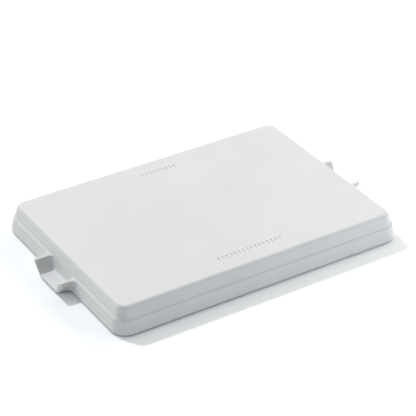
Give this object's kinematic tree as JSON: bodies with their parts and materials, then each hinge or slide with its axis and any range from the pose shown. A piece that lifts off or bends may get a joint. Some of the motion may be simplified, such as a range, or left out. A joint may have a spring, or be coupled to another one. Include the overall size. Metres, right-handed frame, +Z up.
{
  "type": "wet palette",
  "caption": "Flat covered paint palette: a deep stepped cover with a strap channel at each end closes over a shallow tray with a wet foam pad and a mixing sheet.",
  "frame": {"origin": "middle of the closed palette's footprint, on the surface its feet stand on", "axes": "+X along the long side, towards one strap channel; +Y across it; +Z up through the cover's flat top"},
  "size_m": [0.2186, 0.1426, 0.0182],
  "materials": {
    "cover_plastic": "smooth satin white moulding",
    "tray_plastic": "smooth satin white moulding",
    "seal_silicone": "soft satin grey silicone",
    "foot_rubber": "matte dark rubber",
    "foam": "damp open-pored cellulose foam",
    "membrane_paper": "thin parchment-like paper, slightly see-through when wet"
  },
  "bodies": {
    "base": {"base_tray": "tray_plastic", "tray_seal": "seal_silicone", "foot_1": "foot_rubber", "foot_2": "foot_rubber", "foot_3": "foot_rubber", "foot_4": "foot_rubber"},
    "foam": {"hydration_foam": "foam"},
    "sheet": {"membrane_sheet": "membrane_paper"},
    "lid": {"cover": "cover_plastic"}
  },
  "joints": [
    {"name": "foam_lift", "type": "slide", "parent": "base", "child": "foam", "axis": [0, 0, 1], "range_m": [0, 0.03]},
    {"name": "sheet_lift", "type": "slide", "parent": "foam", "child": "sheet", "axis": [0, 0, 1], "range_m": [0, 0.03]},
    {"name": "cover_lift", "type": "slide", "parent": "sheet", "child": "lid", "axis": [0, 0, 1], "range_m": [0, 0.06]}
  ]
}
